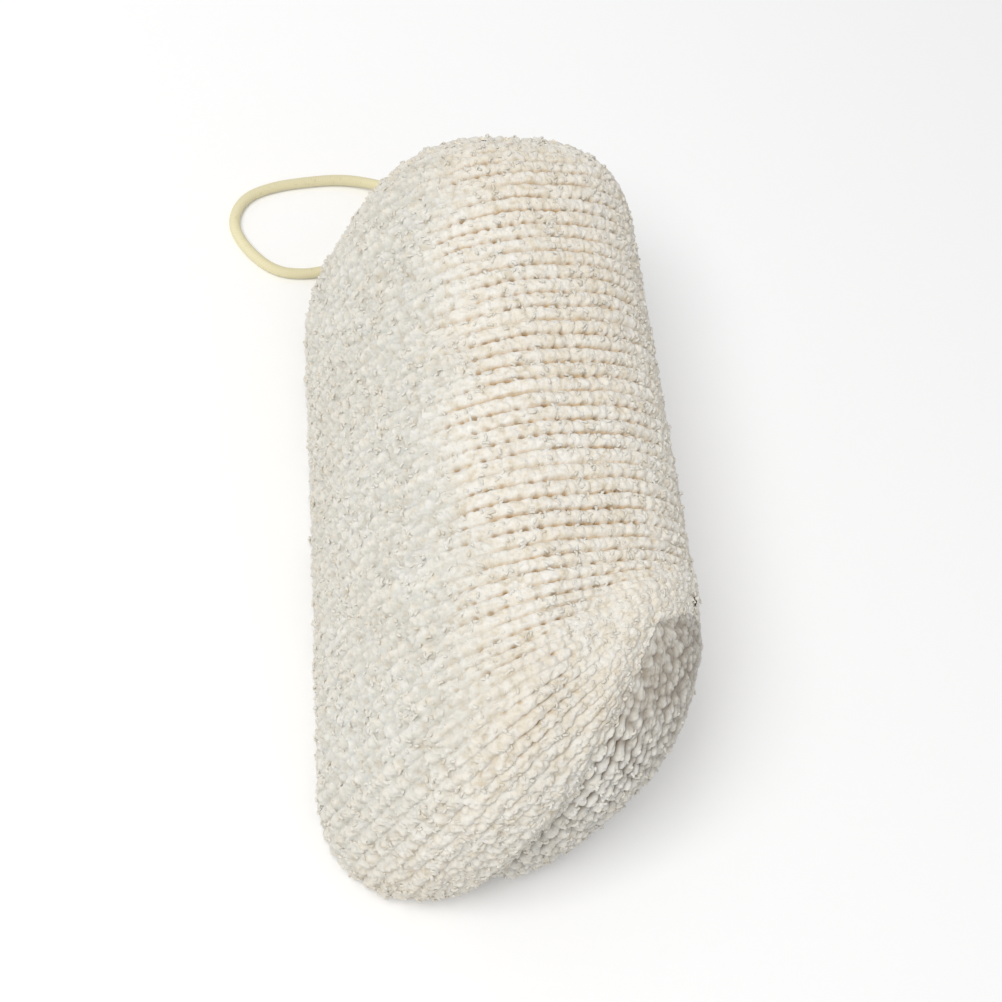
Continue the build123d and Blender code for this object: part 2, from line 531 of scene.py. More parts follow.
@dataclass(frozen=True)
class PadShape:
    """The pad's rounded block: a rounded four-cornered plan, drawn in towards top and bottom."""

    far_half_width: float = 27.0
    near_half_width: float = 32.0
    far_left_y: float = 66.0
    far_right_y: float = 74.0
    near_left_y: float = -78.0
    near_right_y: float = -60.0
    rounds: tuple = (24.0, 19.0, 28.0, 21.0)
    top_setback: float = 8.0
    height: float = 68.0
    top_draw: float = 26.0
    top_power: float = 2.2
    bottom_draw: float = 10.0
    bottom_power: float = 3.2
    pinch: tuple = (11.7, -37.7)
    gusset_left_angle: float = -109.3
    gusset_right_angle: float = 20.0
    far_panel_depth: float = 9.0
    ray_length: float = 150.0
    halvings: int = 26

    @property
    def far_direction(self) -> Grid:
        """Unit vector square to the far face, out of the pad."""
        lean = math.atan2(self.far_right_y - self.far_left_y, 2.0 * self.far_half_width)
        return np.array([-math.sin(lean), math.cos(lean), 0.0])

    @property
    def far_level(self) -> Grid:
        """Level unit vector along the far face, to the right."""
        return np.cross(self.far_direction, UP)

    @property
    def far_middle(self) -> Grid:
        """Middle of the far face's plan line, at half height."""
        return np.array([0.0, (self.far_left_y + self.far_right_y) / 2.0, self.height / 2.0])

    def plan_distance(self, points: Grid) -> Grid:
        """Signed distance in plan from the pad's widest outline, negative inside.

        Args:
            points: Places, shape (n, 3).

        Returns:
            Distances, shape (n,).
        """
        setback = self.top_setback * np.clip(points[:, 2] / self.height, 0.0, 1.0)
        flat = [
            (-self.far_half_width, self.far_left_y),
            (-self.near_half_width, self.near_left_y),
            (self.near_half_width, self.near_right_y),
            (self.far_half_width, self.far_right_y),
        ]
        corners = [np.tile(corner, (len(points), 1)) for corner in flat]
        corners[2][:, 1] += setback
        place = points[:, :2]
        total = np.full(len(points), -np.inf)
        for start, end in zip(corners, corners[1:] + corners[:1]):
            run, away = unit(end - start), place - start
            total = np.maximum(total, away[:, 0] * run[:, 1] - away[:, 1] * run[:, 0])
        for number, radius in enumerate(self.rounds):
            corner = corners[number]
            back, on = unit(corners[number - 1] - corner), unit(corners[(number + 1) % 4] - corner)
            half = np.arccos((back * on).sum(1)) / 2.0
            away = place - corner - unit(back + on) * (radius / np.sin(half))[:, None]
            rounded = ((away * back).sum(1) <= 0.0) & ((away * on).sum(1) <= 0.0)
            total = np.where(rounded, np.linalg.norm(away, axis=1) - radius, total)
        return total

    def measure(self, points: Grid, inset: float) -> Grid:
        """How far places are outside the pad's block, drawn in by the inset.

        Args:
            points: Places, shape (n, 3).
            inset: Distance inside the outer surface.

        Returns:
            Negative inside, zero on the surface and positive outside.
        """
        half = self.height / 2.0 - inset
        level = np.clip((points[:, 2] - self.height / 2.0) / half, -1.0, 1.0)
        size = np.abs(level)
        top, bottom = (
            draw * (1.0 - (1.0 - size**power) ** (1.0 / power))
            for draw, power in ((self.top_draw, self.top_power), (self.bottom_draw, self.bottom_power))
        )
        sides = self.plan_distance(points) + np.where(level > 0.0, top, bottom) + inset
        return np.maximum(sides, np.abs(points[:, 2] - self.height / 2.0) - half)

    def reach(self, origins: Grid, directions: Grid, inset: float) -> Grid:
        """Where rays from inside meet the surface.

        Args:
            origins: Starts of the rays, shape (n, 3).
            directions: Unit directions, shape (n, 3).
            inset: Distance inside the outer surface.

        Returns:
            Surface points, shape (n, 3).
        """
        near = np.zeros(len(origins))
        far = np.full(len(origins), self.ray_length)
        for _ in range(self.halvings):
            middle = (near + far) / 2.0
            outside = self.measure(origins + directions * middle[:, None], inset) > 0.0
            far = np.where(outside, middle, far)
            near = np.where(outside, near, middle)
        return origins + directions * near[:, None]

    def normals(self, points: Grid, inset: float, step: float = 0.15) -> Grid:
        """Outward unit normals of the surface.

        Args:
            points: Surface points, shape (n, 3).
            inset: Distance inside the outer surface.
            step: Distance over which the slope is taken.

        Returns:
            Normals, shape (n, 3).
        """
        steps = step * np.eye(3)
        slopes = [self.measure(points + way, inset) - self.measure(points - way, inset) for way in steps]
        return unit(np.stack(slopes, axis=1))

    def gusset_sides(self, points: Grid) -> tuple[Grid, Grid]:
        """How far places are on the gusset's side of each of its two seams.

        Args:
            points: Places, shape (n, 3).

        Returns:
            Distances in plan from the left seam and from the right seam.
        """
        away = points[:, :2] - np.array(self.pinch)
        left, right = math.radians(self.gusset_left_angle), math.radians(self.gusset_right_angle)
        from_left = away[:, 1] * math.cos(left) - away[:, 0] * math.sin(left)
        from_right = away[:, 0] * math.sin(right) - away[:, 1] * math.cos(right)
        return from_left, from_right

    def gusset_depth(self, points: Grid) -> Grid:
        """How far places are inside the gusset's wedge, negative outside it."""
        return np.minimum(*self.gusset_sides(points))

    def far_depth(self, points: Grid) -> Grid:
        """How far places are beyond the far panel's seam, negative on the sleeve's side."""
        return (points - self.far_middle) @ self.far_direction + self.far_panel_depth

    def far_rim(self, inset: float, spokes: int) -> tuple[Grid, Grid]:
        """The line round the pad where the far panel meets the sleeve.

        Args:
            inset: Distance inside the outer surface.
            spokes: Points wanted, less the one that closes the line.

        Returns:
            The line's middle, and its points.
        """
        middle = self.far_middle - self.far_direction * self.far_panel_depth
        turn = np.linspace(0.0, 2.0 * np.pi, spokes + 1)[:, None]
        ways = self.far_level * np.cos(turn) + UP * np.sin(turn)
        return middle, self.reach(np.tile(middle, (len(ways), 1)), ways, inset)


@dataclass
class Patch:
    """A stretch of knit as a grid of surface points, with its course and wale counts."""

    base: Grid
    course: Grid
    wale: Grid

    @classmethod
    def counted(cls, base: Grid, sense: float = 1.0) -> "Patch":
        """A stretch whose rows are courses and whose columns are wales.

        Args:
            base: Its grid of points.
            sense: Sign of the wale counts.

        Returns:
            The stretch.
        """
        course, wale = np.meshgrid(*(np.arange(size, dtype=float) for size in base.shape[:2]), indexing="ij")
        return cls(base, course, sense * wale)

    def finer(self, down: int, across: int) -> "Patch":
        """The same stretch with more points between its rows and columns.

        Args:
            down: New rows for each old one.
            across: New columns for each old one.

        Returns:
            The finer patch.
        """
        return Patch(*(refine(refine(g, down, 0), across, 1) for g in (self.base, self.course, self.wale)))

    def facings(self) -> Grid:
        """Normals of the stretch on either side, as long as the area that belongs to each point."""
        return np.cross(np.gradient(self.base, axis=0), np.gradient(self.base, axis=1)).reshape(-1, 3)

    def areas(self) -> Grid:
        """Surface area that belongs to each point, in square millimetres."""
        return np.linalg.norm(self.facings(), axis=1)

    def normals(self, rough: Grid) -> Grid:
        """Unit normals of the stretch, on the side of rough ones.

        Args:
            rough: Rough normals, which also serve where the grid's points meet, shape (n, 3).

        Returns:
            Normals, shape (n, 3).
        """
        facing, least_area = self.facings(), 2e-3
        outward = facing * np.sign((facing * rough).sum(1, keepdims=True))
        return np.where(self.areas()[:, None] > least_area, unit(outward), rough)

    def spacing(self) -> Grid:
        """Distance from course to course at each point of a grid whose rows are courses."""
        gap = np.linalg.norm(np.gradient(self.base, axis=0), axis=2)
        return (gap / np.gradient(self.course, axis=0)).ravel()

    def quads(self) -> Grid:
        """Quads of the stretch's points."""
        return quads_of(np.arange(self.course.size).reshape(self.course.shape))


def refine(grid: Grid, times: int, axis: int) -> Grid:
    """Put points between the rows of a grid, on smooth curves through them.

    Args:
        grid: The grid.
        times: New rows for each old one.
        axis: The axis that gets more rows.

    Returns:
        The finer grid.
    """
    rows = np.moveaxis(grid, axis, 0)
    last = len(rows) - 1
    place = np.linspace(0.0, last, last * times + 1)
    low = np.minimum(place.astype(int), last - 1)
    share = (place - low).reshape((-1,) + (1,) * (rows.ndim - 1))
    before, after = rows[np.maximum(low - 1, 0)], rows[np.minimum(low + 2, last)]
    start, end = rows[low], rows[low + 1]
    cubic = share * (3.0 * (start - end) + after - before)
    square = share * (2.0 * before - 5.0 * start + 4.0 * end - after + cubic)
    return np.moveaxis(start + 0.5 * share * (end - before + square), 0, axis)


# --- The stuffed form ---


@dataclass
class StuffedForm:
    """The pad's cover blown up against its seams by a short cloth simulation."""

    shape: PadShape
    inset: float = 1.2
    voxel: float = 4.5
    pressure: float = 4.0
    frames: int = 20
    most: float = 1.3
    seam_hold: float = 3.0
    floor_hold: float = 4.0
    middle_y: float = -4.0
    weld: float = 0.05
    rings: int = 40
    spokes: int = 64
    neighbours: int = 6
    places: Grid | None = None
    moves: Grid | None = None

    def closed_form(self) -> bpy.types.Object:
        """Build the coarse closed form that is blown up.

        Returns:
            The form, remeshed evenly.
        """
        tilt = np.linspace(0.0, np.pi, self.rings)
        turn = np.linspace(0.0, 2.0 * np.pi, self.spokes + 1)
        tilt, turn = np.meshgrid(tilt, turn, indexing="ij")
        ways = np.stack((np.sin(tilt) * np.cos(turn), np.cos(tilt), np.sin(tilt) * np.sin(turn)), axis=-1)
        middle = np.array([0.0, self.middle_y, self.shape.height / 2.0])
        points = self.shape.reach(np.tile(middle, (tilt.size, 1)), ways.reshape(-1, 3), self.inset)
        piece = build_mesh("stuffed_form", points, quads_of(np.arange(tilt.size).reshape(tilt.shape)))
        weld = piece.modifiers.new("close", "WELD")
        weld.merge_threshold = self.weld * METRES
        remesh = piece.modifiers.new("even", "REMESH")
        remesh.mode = "VOXEL"
        remesh.voxel_size = self.voxel * METRES
        return self.applied(piece)

    @staticmethod
    def applied(piece: bpy.types.Object) -> bpy.types.Object:
        """Keep the result of a piece's modifiers and drop them.

        Args:
            piece: The piece.

        Returns:
            The same piece, with its new mesh.
        """
        graph = bpy.context.evaluated_depsgraph_get()
        mesh = bpy.data.meshes.new_from_object(piece.evaluated_get(graph))
        piece.modifiers.clear()
        piece.data = mesh
        return piece

    @staticmethod
    def places_of(piece: bpy.types.Object) -> Grid:
        """A piece's vertices, in millimetres.

        Args:
            piece: The piece.

        Returns:
            Points, shape (n, 3).
        """
        flat = np.zeros(3 * len(piece.data.vertices), np.float32)
        piece.data.vertices.foreach_get("co", flat)
        return flat.reshape(-1, 3).astype(float) / METRES

    def blow_up(self) -> None:
        """Run the simulation and keep how far each place of the form moved."""
        piece = self.closed_form()
        start = self.places_of(piece)
        seams = np.minimum(np.abs(self.shape.gusset_depth(start)), np.abs(self.shape.far_depth(start)))
        held = (seams < self.seam_hold) | (start[:, 2] < self.floor_hold)
        pins = piece.vertex_groups.new(name="seams")
        pins.add(np.flatnonzero(held).tolist(), 1.0, "REPLACE")
        cloth = piece.modifiers.new("cloth", "CLOTH")
        cloth.settings.use_pressure = True
        cloth.settings.uniform_pressure_force = self.pressure
        cloth.settings.vertex_group_mass = pins.name
        cloth.settings.effector_weights.gravity = 0.0
        scene = bpy.context.scene
        for number in range(1, self.frames + 1):
            scene.frame_set(number)
        self.applied(piece)
        scene.frame_set(1)
        moves = self.places_of(piece) - start
        size = np.linalg.norm(moves, axis=1, keepdims=True)
        self.places = start
        self.moves = moves * np.minimum(1.0, self.most / np.maximum(size, 1e-9))
        bpy.data.objects.remove(piece)
        log.info("stuffed form: %d points, most %.2f mm", len(start), float(size.max()))

    def swell(self, points: Grid) -> Grid:
        """Move surface points as the stuffed form moved near them.

        Args:
            points: Places, shape (n, 3).

        Returns:
            The moved places.
        """
        if self.places is None:
            return points
        tree = kdtree.KDTree(len(self.places))
        for number, place in enumerate(self.places):
            tree.insert(place, number)
        tree.balance()
        moved = points.copy()
        for number, point in enumerate(points):
            found = tree.find_n(point, self.neighbours)
            weights = np.array([1.0 / (distance + 1.0) ** 2 for _, _, distance in found])
            near = self.moves[[index for _, index, _ in found]]
            moved[number] += (near * weights[:, None]).sum(0) / weights.sum()
        return moved


# --- The knit ---


@dataclass(frozen=True)
class Knit:
    """One kind of boucle knitting: the sizes of its stitches and how they swell.

    Lengths are in millimetres. A pair of values is where a smooth step starts and ends.
    """

    course: float = 2.9
    wale: float = 2.8
    rib: float = 0.85
    rib_power: float = 2.6
    rows_apart: tuple = (1.3, 2.1)
    pairs_apart: tuple = (0.65, 1.05)
    rows_crowded: tuple = (0.8, 2.6)
    crowded_rib: float = 0.2
    closed_rib: float = 0.35
    dome: float = 0.07
    curl: float = 1.3
    curl_height: float = 0.54
    gripped_curl: float = 0.35
    fine_curl: float = 0.7
    fine_height: float = 0.5
    gripped_fine: float = 0.4
    nub: float = 2.0
    nub_height: float = 0.5
    # painted shade: share of core colour mixed into the low places between swellings of closed knit
    valley_shade: float = 0.25
    low_nub: tuple = (0.35, 0.1)
    low_curl: tuple = (0.4, 0.15)
    pit: float = 1.7
    pit_across: float = 0.34
    pit_along: float = 0.46
    pit_mean: float = 0.72
    pit_spread: float = 0.34
    pit_least: float = 0.1
    pit_most: float = 1.25
    pit_bare: float = 1.75
    pit_bare_start: float = 0.15
    groove: float = 0.25
    groove_width: float = 0.36
    groove_strength: float = 0.62
    groove_patch: float = 3.4
    groove_bare: float = 1.5
    groove_bare_start: float = 0.3
    plain_row: int = 5
    plain_strength: float = 0.3
    row_offset: float = 0.12
    sway: float = 0.10
    sway_patch: float = 7.0
    brick: float = 0.0
    repeat: int = 256
    seed: int = 11

    def ribs(self, course: Grid, spacing: Grid) -> Grid:
        """Rounded ribs of the courses, which join in pairs where they crowd together.

        Args:
            course: Course counts, shape (n,).
            spacing: Distance from course to course at each place.

        Returns:
            Heights from 0 to 1.
        """
        total, left = np.zeros(len(course)), np.ones(len(course))
        single = smooth_step(*self.rows_apart, spacing)
        paired = smooth_step(*self.pairs_apart, spacing)
        for joined, share in ((1, single), (2, paired), (4, 1.0)):
            part = course / joined
            across = np.abs(2.0 * (part - np.floor(part)) - 1.0)
            total += left * share * np.sqrt(np.clip(1.0 - across**self.rib_power, 0.0, 1.0))
            left = left * (1.0 - share)
        return total * at_least(self.crowded_rib, smooth_step(*self.rows_crowded, spacing))

    def relief(self, patch: Patch, points: Grid, openness: Grid, spacing: Grid) -> tuple[Grid, Grid]:
        """Height of the knit over its base, and how bare each place is, with painted shade added in the low
        places of closed knit.

        Args:
            patch: The stretch of knit.
            points: Its base points, shape (n, 3).
            openness: How far its stitches are pulled open at each point.
            spacing: Distance from course to course at each point.

        Returns:
            The heights in millimetres, and the bareness with painted shade from 0 to 1, shape (n,).
        """
        rng = np.random.default_rng(self.seed)
        offsets = rng.normal(0.0, self.row_offset, self.repeat)
        strengths = rng.normal(self.pit_mean, self.pit_spread, (self.repeat, self.repeat))
        strengths = np.clip(strengths, self.pit_least, self.pit_most)
        strengths[:: self.plain_row] *= self.plain_strength
        u, v = patch.course.ravel(), patch.wale.ravel()
        u = u + self.sway * drift(points, self.sway_patch, self.seed + 1)
        rib = self.ribs(u, spacing)
        spaced = smooth_step(*self.rows_apart, spacing)

        row = np.floor(u).astype(int)
        shifted = v + self.brick * (row % 2) + offsets[row % self.repeat]
        beat = np.abs(2.0 * (shifted - np.floor(shifted)) - 1.0)
        bulge = rib * (1.0 - self.dome * beat**2)

        edge = np.round(u).astype(int)
        along = v + self.brick * (edge % 2) + offsets[edge % self.repeat]
        stitch = np.round(along).astype(int)
        from_edge = (u - edge) * self.course
        hole = bell(from_edge, self.pit_across) * bell((along - stitch) * self.wale, self.pit_along)
        hole *= strengths[edge % self.repeat, stitch % self.repeat] * openness * spaced
        groove = openness * spaced * bell(from_edge, self.groove_width)
        groove *= at_least(self.groove_strength, drift(points, self.groove_patch, self.seed + 5))

        coarse = curls(points, self.curl, self.seed + 2)
        fine = curls(points, self.fine_curl, self.seed + 3)
        nub = curls(points, self.nub, self.seed + 4)
        grip = 1.0 - spaced * (1.0 - rib)
        height = self.rib * at_least(self.closed_rib, openness) * bulge
        height += self.curl * self.curl_height * coarse * at_least(self.gripped_curl, grip)
        height += self.fine_curl * self.fine_height * fine * at_least(self.gripped_fine, grip)
        height += self.nub * self.nub_height * (1.0 - openness) * nub
        height -= self.pit * hole + self.groove * groove

        bare_and_painted_shade = np.clip(self.pit_bare * hole - self.pit_bare_start, 0.0, 1.0)
        bare_and_painted_shade += self.groove_bare * np.clip(groove - self.groove_bare_start, 0.0, 1.0)
        # painted shade: the low places between the swellings of closed knit
        low = smooth_step(*self.low_nub, nub) * smooth_step(*self.low_curl, coarse)
        bare_and_painted_shade += self.valley_shade * (1.0 - openness) * low
        return height, np.clip(bare_and_painted_shade, 0.0, 1.0)


@dataclass(frozen=True)
class YarnLoops:
    """Little loops of boucle yarn that stand out of the knit. A pair of values is a least and a most."""

    per_area: float = 0.26
    most_bare: float = 0.05
    lean: float = 0.9
    radius: tuple = (0.28, 0.55)
    squeeze: float = 0.75
    start: tuple = (-0.5, 0.3)
    sweep: tuple = (2.2, 3.6)
    sink: float = 0.16
    coil: float = 0.16
    yarn: tuple = (0.2, 0.31)
    slub: float = 0.25
    tip: float = 0.35
    stations: int = 8
    sides: int = 5

    def grow(self, points: Grid, normals: Grid, areas: Grid, bare_and_painted_shade: Grid, seed: int) -> tuple[Grid, Grid]:
        """Grow the loops on a stretch of knit.

        Args:
            points: Finished surface points, shape (n, 3).
            normals: Their outward normals.
            areas: The surface area that belongs to each.
            bare_and_painted_shade: Their bareness with painted shade, which keeps loops out of the open
                stitches and the shaded places.
            seed: Seed of the loops' places and sizes.

        Returns:
            Vertices and quads of the loops.
        """
        rng = np.random.default_rng(seed)
        spots = np.flatnonzero((rng.random(len(points)) < self.per_area * areas) & (bare_and_painted_shade < self.most_bare))
        count = len(spots)
        out = normals[spots]
        side = unit(np.cross(out, rng.normal(size=(count, 3))))
        ahead = np.cross(out, side)
        lean = rng.uniform(-self.lean, self.lean, count)[:, None]
        rise = out * np.cos(lean) + ahead * np.sin(lean)
        drop = np.cross(side, rise)
        radius = rng.uniform(*self.radius, count)[:, None]
        start, sweep = rng.uniform(*self.start, count), rng.uniform(*self.sweep, count)
        turn = start[:, None] + sweep[:, None] * np.linspace(0.0, 1.0, self.stations)[None, :]
        coil = self.coil * turn * rng.choice((-1.0, 1.0), count)[:, None]
        paths = (points[spots] - out * self.sink)[:, None, :]
        paths = paths + (radius * np.cos(turn))[:, :, None] * side[:, None, :]
        paths = paths + (radius * self.squeeze * np.sin(turn))[:, :, None] * rise[:, None, :]
        paths = paths + coil[:, :, None] * drop[:, None, :]
        thick = rng.uniform(*self.yarn, count)[:, None]
        thick = thick * (1.0 + self.slub * rng.normal(size=(count, self.stations)).clip(-1, 1))
        thick[:, [0, -1]] *= self.tip
        return tubes(paths, thick, self.sides)


@dataclass
class Cloth:
    """Stretches of knit and their yarn loops, gathered to make one piece of the cover."""

    rows: list = field(default_factory=list)
    quads: list = field(default_factory=list)
    count: int = 0

    def add(self, points: Grid, quads: Grid, bare_and_painted_shade: Grid | float, painted_shade: Grid | float) -> None:
        """Add a stretch.

        Args:
            points: Its vertices, shape (n, 3).
            quads: Its quads. A number below 0 names a vertex of an earlier stretch.
            bare_and_painted_shade: How bare the knit is at each vertex, with painted shade added.
            painted_shade: How far the yarn is greyed as painted shade at each vertex.
        """
        looks = [np.broadcast_to(value, len(points)) for value in (bare_and_painted_shade, painted_shade)]
        self.rows.append(np.column_stack((points, *looks)))
        self.quads.append(quads + self.count)
        self.count += len(points)

    def make(self, name: str, material: bpy.types.Material) -> bpy.types.Object:
        """Args:
            name: The piece's name.
            material: The finish.

        Returns:
            The piece, riding on the pad.
        """
        joined, used = np.unique(np.concatenate(self.quads), return_inverse=True)
        rows = np.concatenate(self.rows)[joined]
        rows[:, 2] = np.maximum(rows[:, 2], 0.0)
        # both values carry painted shade
        looks = {"bare_and_painted_shade": rows[:, 3], "painted_shade": rows[:, 4]}
        piece = build_mesh(name, rows[:, :3], used.reshape(-1, 4), looks)
        piece.data.materials.append(material)
        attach(piece, Body.PAD.value)
        return piece


@dataclass
class Cover:
    """What the knitted pieces of the cover share: the form, the knit and the yarn loops."""

    shape: PadShape
    form: StuffedForm
    material: bpy.types.Material
    inset: float = 1.0
    detail: int = 9
    section_points: int = 361
    tuck: float = 1.5
    shallow_tuck: float = 0.4
    tuck_width: float = 2.6
    tuck_change: float = 3.0
    far_tuck: float = 0.5
    far_tuck_width: float = 0.9
    lap: float = 3.0
    lap_sink: float = 1.8
    lap_run: float = 1.5
    loops: YarnLoops = YarnLoops()
    # painted shade: an even grey share for the yarn loops and the far panel's knit
    even_painted_shade: float = 0.3

    def on_form(self, points: Grid) -> Grid:
        """Surface points moved with the stuffed form, with their grid's shape kept."""
        return self.form.swell(points.reshape(-1, 3)).reshape(points.shape)

    def tuck_at(self, points: Grid) -> Grid:
        """How deep the nearer seam of the gusset draws the cover in.

        Args:
            points: Places, shape (n, 3).

        Returns:
            Depths: full at the left seam, shallow at the right seam.
        """
        from_left, from_right = self.shape.gusset_sides(points)
        left = smooth_step(-self.tuck_change, self.tuck_change, from_right - from_left)
        return self.shallow_tuck + (self.tuck - self.shallow_tuck) * left

    def far_groove(self, points: Grid) -> Grid:
        """How deep the far panel's seam draws the cover in."""
        return self.far_tuck * bell(self.shape.far_depth(points), self.far_tuck_width)

    def arcs(self, origins: Grid, ways: Grid, columns: int) -> Grid:
        """Upright section curves of the pad from top to bottom, with evenly spaced points.

        Args:
            origins: A start for each curve, on its upright line, shape (n, 3).
            ways: Its level direction, shape (n, 3).
            columns: Points wanted, less one.

        Returns:
            Points, shape (n, columns + 1, 3).
        """
        angle = np.linspace(math.pi / 2.0, -math.pi / 2.0, self.section_points)[None, :, None]
        rays = ways[:, None, :] * np.cos(angle) + UP * np.sin(angle)
        starts = np.repeat(origins[:, None, :], self.section_points, axis=1)
        curves = self.shape.reach(starts.reshape(-1, 3), rays.reshape(-1, 3), self.inset)
        even = []
        for curve in curves.reshape(rays.shape):
            reached = run_length(curve)
            even.append(along_line(curve, reached, np.linspace(0.0, 1.0, columns + 1) * reached[-1]))
        return np.array(even)


@dataclass
class Sleeve(Cover):
    """The long knitted sleeve: upright courses along the pad that fan round the near left corner.

    A pair of values is where a smooth step starts and ends, apart from the pivot and the puff's
    place, which are points in plan.
    """

    knit: Knit = Knit()
    pivot: tuple = (22.0, -30.0)
    far_margin: float = 0.6
    fan_step: float = 2.8
    fan_reach: float = 48.0
    easing_rows: int = 8
    least_gap: float = 0.1
    left_stitches: int = 58
    right_stitches: int = 32
    extra_rows: int = 5
    lapped_rows: int = 7
    ridge: float = 0.7
    ridge_place: float = -5.5
    ridge_width: float = 3.0
    puff: float = 1.2
    puff_place: tuple = (10.0, -37.0)
    puff_width: float = 5.0
    closed: float = 0.2
    open_top: tuple = (0.42, 0.98)
    open_right: tuple = (0.2, 0.8)
    right_share: float = 0.75
    near_place: tuple = (-20.0, -55.0)
    near_closing: float = 0.4
    patchy: float = 0.14
    patchy_size: float = 9.0
    patchy_seed: int = 8
    buried: float = 0.5
    # painted shade: grey mixed in where the knit is closed, low and turned to the left
    painted_shade: float = 1.25
    painted_shade_left: tuple = (0.2, 0.95)
    painted_shade_right: float = 0.3
    painted_shade_height: tuple = (1.75, 0.75)
    painted_shade_crest: float = 0.25
    even_painted_shade: float = 0.35
    loop_seed: int = 70

    def rows(self) -> tuple[Grid, Grid]:
        """Lay out the courses of the left side, which ease from straight rows into the fan.

        Returns:
            How far each course lies past the pivot, and how far it is turned, in radians.
        """
        turn = math.radians(self.fan_step)
        easing = turn * (1.0 - (np.arange(self.easing_rows) + 0.5) / self.easing_rows)
        gaps = np.maximum(self.knit.course - self.fan_reach * easing, self.least_gap)
        length = self.straight_length() - gaps.sum()
        count = round(length / self.knit.course)
        gaps = np.concatenate((gaps, np.full(count, length / count)))
        past = np.concatenate(([0.0], np.cumsum(gaps)))
        eased = easing.sum()
        turned = eased - np.concatenate(([0.0], np.cumsum(easing), np.full(count, eased)))
        fan = eased + turn * np.arange(1, int((math.pi / 2.0 - eased) / turn) + self.lapped_rows)
        return np.concatenate((past[::-1], np.zeros(len(fan)))), np.concatenate((turned[::-1], fan))

    def straight_rows(self) -> int:
        """Number of courses that lie before the pivot."""
        return int((self.rows()[0] > 0.0).sum())

    def straight_length(self) -> float:
        """Distance from the pivot to just past the far seam."""
        return self.far_margin - float(self.shape.far_depth(np.array([[*self.pivot, 0.0]]))[0])

    def patches(self) -> list[Patch]:
        """Lay out the sleeve's stretches of knit.

        Returns:
            The stretch over the left side with the fan, and the stretch over the right side.
        """
        far, level = self.shape.far_direction, self.shape.far_level
        pivot = np.array([*self.pivot, self.shape.height / 2.0])
        past, turned = self.rows()
        ways = -level * np.cos(turned)[:, None] - far * np.sin(turned)[:, None]
        left = self.arcs(pivot + far * past[:, None], ways, self.left_stitches)
        beyond = -self.knit.course * np.arange(self.extra_rows + 1)
        line = pivot + far * np.concatenate((past[past > 0.0], beyond))[:, None]
        right = self.arcs(line, np.tile(level, (len(line), 1)), self.right_stitches)
        return [Patch.counted(self.on_form(left), -1.0), Patch.counted(self.on_form(right))]

    def openness(self, points: Grid, normals: Grid) -> Grid:
        """How far the stitches are pulled open: most over the top, least down the left and near faces.

        Args:
            points: Base points, shape (n, 3).
            normals: Their outward normals.

        Returns:
            Openness, shape (n,).
        """
        patchy = self.patchy * drift(points, self.patchy_size, self.patchy_seed)
        top = smooth_step(*self.open_top, normals[:, 2] + patchy)
        right = self.right_share * smooth_step(*self.open_right, normals[:, 0])
        near = 1.0 - self.near_closing * smooth_step(*self.near_place, points[:, 1])
        return np.clip(at_least(self.closed, np.maximum(top, right) * near), 0.0, 1.0)

    def shoulders(self, points: Grid) -> Grid:
        """Rise of the sleeve beside the gusset: a ridge along the seam and a puff at the pinch.

        Args:
            points: Base points, shape (n, 3).

        Returns:
            Heights, shape (n,).
        """
        depth = self.shape.gusset_depth(points)
        ridge = self.ridge * bell(depth - self.ridge_place, self.ridge_width)
        reach = np.linalg.norm(points[:, :2] - np.array(self.puff_place), axis=1)
        puff = self.puff * bell(reach, self.puff_width) * (points[:, 2] > self.shape.height / 2.0)
        seam = self.tuck_at(points) * bell(np.maximum(-depth, 0.0), self.tuck_width)
        sunk = self.lap_sink * smooth_step(0.0, self.lap_run, depth)
        return ridge + puff - seam - sunk - self.far_groove(points)

    def build(self) -> bpy.types.Object:
        """Build the sleeve.

        Returns:
            The finished piece.
        """
        cloth = Cloth()
        left_width, shared = 0, np.arange((self.straight_rows() - 1) * self.detail)
        for number, patch in enumerate(self.patches()):
            fine = patch.finer(self.detail, self.detail)
            base = fine.base.reshape(-1, 3)
            normals = fine.normals(self.shape.normals(base, self.inset))
            openness = self.openness(base, normals)
            height, bare_and_painted_shade = self.knit.relief(fine, base, openness, fine.spacing())
            points = base + normals * (height + self.shoulders(base))[:, None]
            inside = self.shape.gusset_depth(base)
            faces = fine.quads()
            faces = faces[inside[faces].min(axis=1) < self.lap]
            width = fine.course.shape[1]
            if number == 0:  # The left stretch winds the other way round.
                faces, left_width = faces[:, ::-1], width
            else:  # The right stretch shares the left one's border along the top.
                welded = np.arange(len(points))
                welded[shared * width] = shared * left_width - cloth.count
                faces = welded[faces]
            # painted shade: grey where the knit is closed, in its low places and on faces turned left
            painted_shade = self.painted_shade * (1.0 - openness)
            painted_shade *= at_least(self.painted_shade_crest, smooth_step(*self.painted_shade_height, height))
            painted_shade *= at_least(self.painted_shade_right, smooth_step(*self.painted_shade_left, -normals[:, 0]))
            cloth.add(points, faces, bare_and_painted_shade, painted_shade)
            hidden = bare_and_painted_shade + (inside > self.buried)
            loops = self.loops.grow(points, normals, fine.areas(), hidden, self.loop_seed + number)
            cloth.add(*loops, 0.0, self.even_painted_shade)
        piece = cloth.make("cover_sleeve_knit", self.material)
        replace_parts(piece, "cover_sleeve")
        return piece


